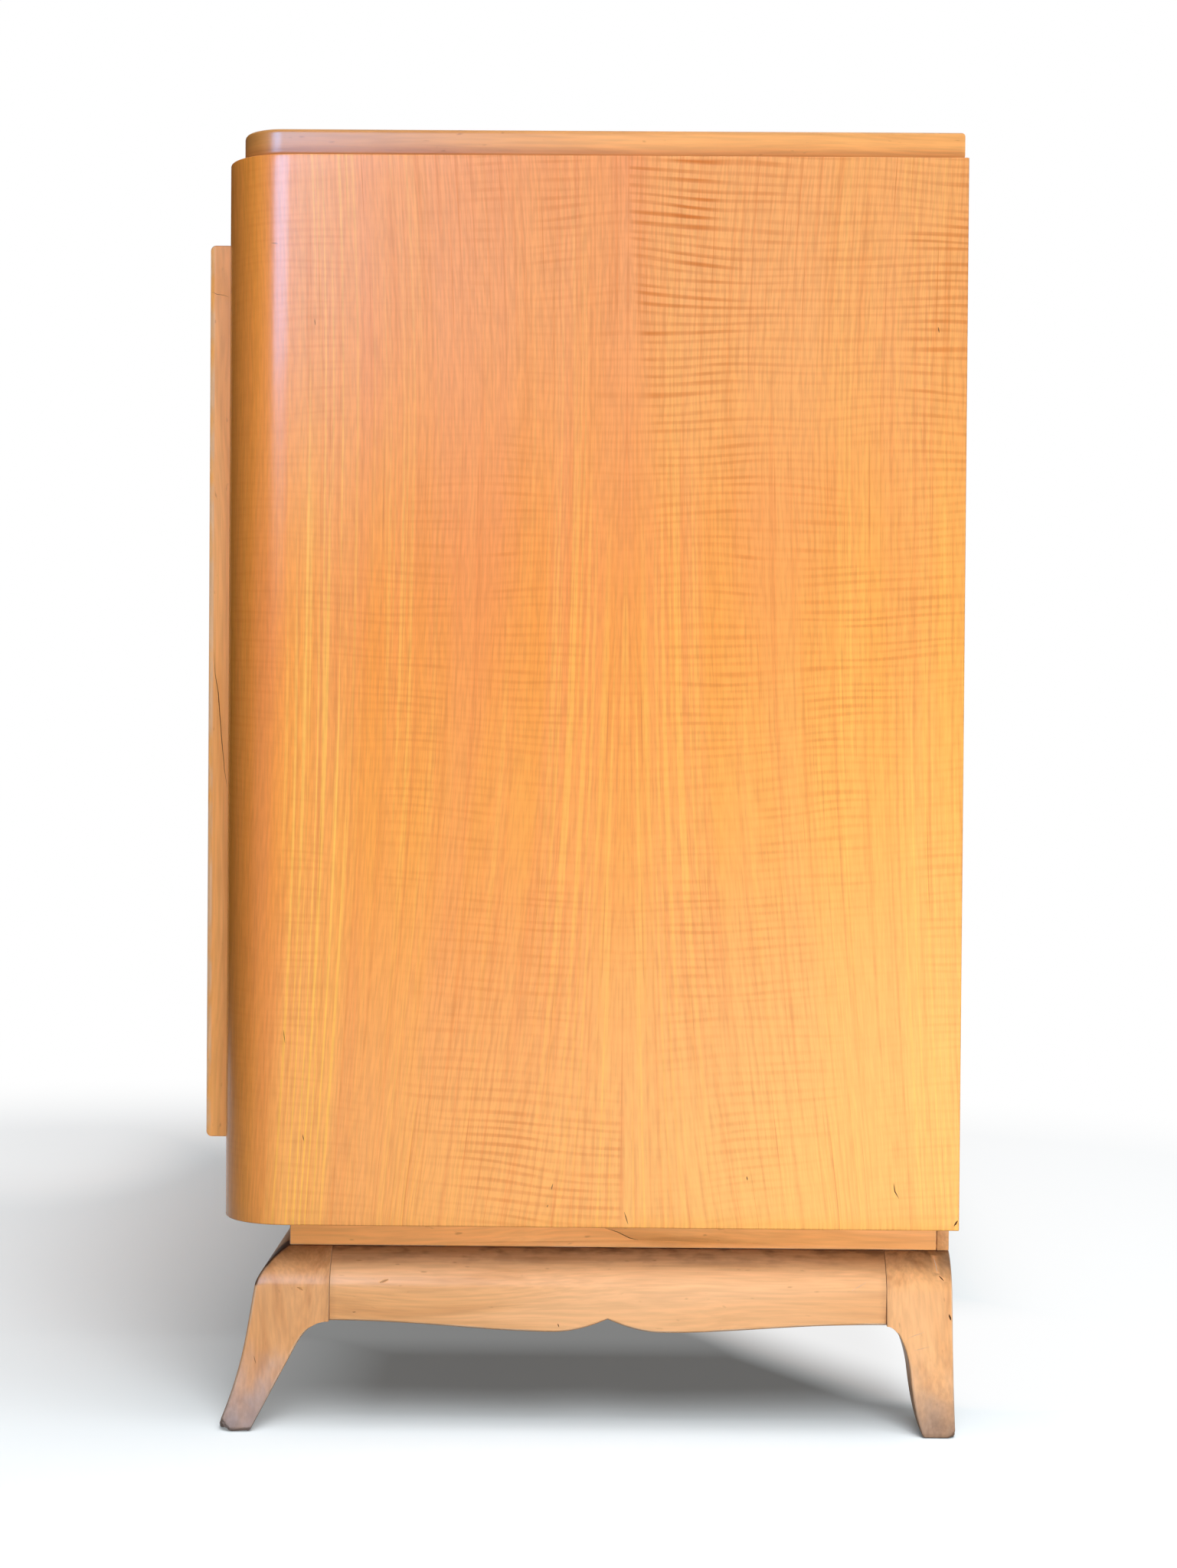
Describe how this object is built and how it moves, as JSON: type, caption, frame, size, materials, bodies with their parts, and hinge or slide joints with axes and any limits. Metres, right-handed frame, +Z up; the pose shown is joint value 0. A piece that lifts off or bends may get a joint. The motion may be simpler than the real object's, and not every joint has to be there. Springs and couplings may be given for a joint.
{
  "type": "commode",
  "caption": "Low chest of drawers in pale figured wood, with round front corners, a raised frame round the drawers, a recessed plinth, scalloped aprons and swept legs.",
  "frame": {"origin": "on the floor, under the middle of the whole piece", "axes": "+X to the right as the piece faces the viewer, -Y out of the front, +Z up"},
  "size_m": [1.1, 0.528, 0.8564],
  "materials": {
    "veneer": "varnished figured sycamore veneer",
    "solid": "varnished solid sycamore",
    "beech": "plain beech, unpolished",
    "ply": "birch plywood, unpolished"
  },
  "bodies": {
    "carcase": {"side_right": "veneer", "side_left": "veneer", "front_rail_top": "veneer", "front_rail_bottom": "veneer", "top_slab": "veneer", "leg_front_right": "solid", "leg_front_left": "solid", "leg_rear_right": "solid", "leg_rear_left": "solid", "apron_front": "solid", "apron_right": "solid", "apron_left": "solid", "plinth_front": "solid", "plinth_right": "solid", "plinth_left": "solid", "frame_stile_right": "solid", "frame_stile_left": "solid", "frame_rail_top": "solid", "frame_rail_bottom": "solid", "apron_rear": "beech", "plinth_rear": "beech", "corner_block_front_right": "beech", "corner_block_front_left": "beech", "corner_block_rear_right": "beech", "corner_block_rear_left": "beech", "bottom_panel": "beech", "sub_top": "beech", "cheek_right": "beech", "cheek_left": "beech", "divider_lower": "beech", "divider_upper": "beech", "runner_lower_right": "beech", "runner_lower_left": "beech", "runner_middle_right": "beech", "runner_middle_left": "beech", "runner_upper_right": "beech", "runner_upper_left": "beech", "back_panel": "ply"},
    "drawer_lower": {"drawer_lower_front": "veneer", "drawer_lower_side_right": "beech", "drawer_lower_side_left": "beech", "drawer_lower_back": "beech", "drawer_lower_bottom": "ply", "drawer_lower_knob_right": "solid", "drawer_lower_knob_left": "solid"},
    "drawer_middle": {"drawer_middle_front": "veneer", "drawer_middle_side_right": "beech", "drawer_middle_side_left": "beech", "drawer_middle_back": "beech", "drawer_middle_bottom": "ply", "drawer_middle_knob_right": "solid", "drawer_middle_knob_left": "solid"},
    "drawer_upper": {"drawer_upper_front": "veneer", "drawer_upper_side_right": "beech", "drawer_upper_side_left": "beech", "drawer_upper_back": "beech", "drawer_upper_bottom": "ply", "drawer_upper_knob_right": "solid", "drawer_upper_knob_left": "solid"}
  },
  "joints": [
    {"name": "drawer_lower_slide", "type": "slide", "parent": "carcase", "child": "drawer_lower", "axis": [0, -1, 0], "range_m": [0, 0.34]},
    {"name": "drawer_middle_slide", "type": "slide", "parent": "carcase", "child": "drawer_middle", "axis": [0, -1, 0], "range_m": [0, 0.34]},
    {"name": "drawer_upper_slide", "type": "slide", "parent": "carcase", "child": "drawer_upper", "axis": [0, -1, 0], "range_m": [0, 0.34]}
  ]
}
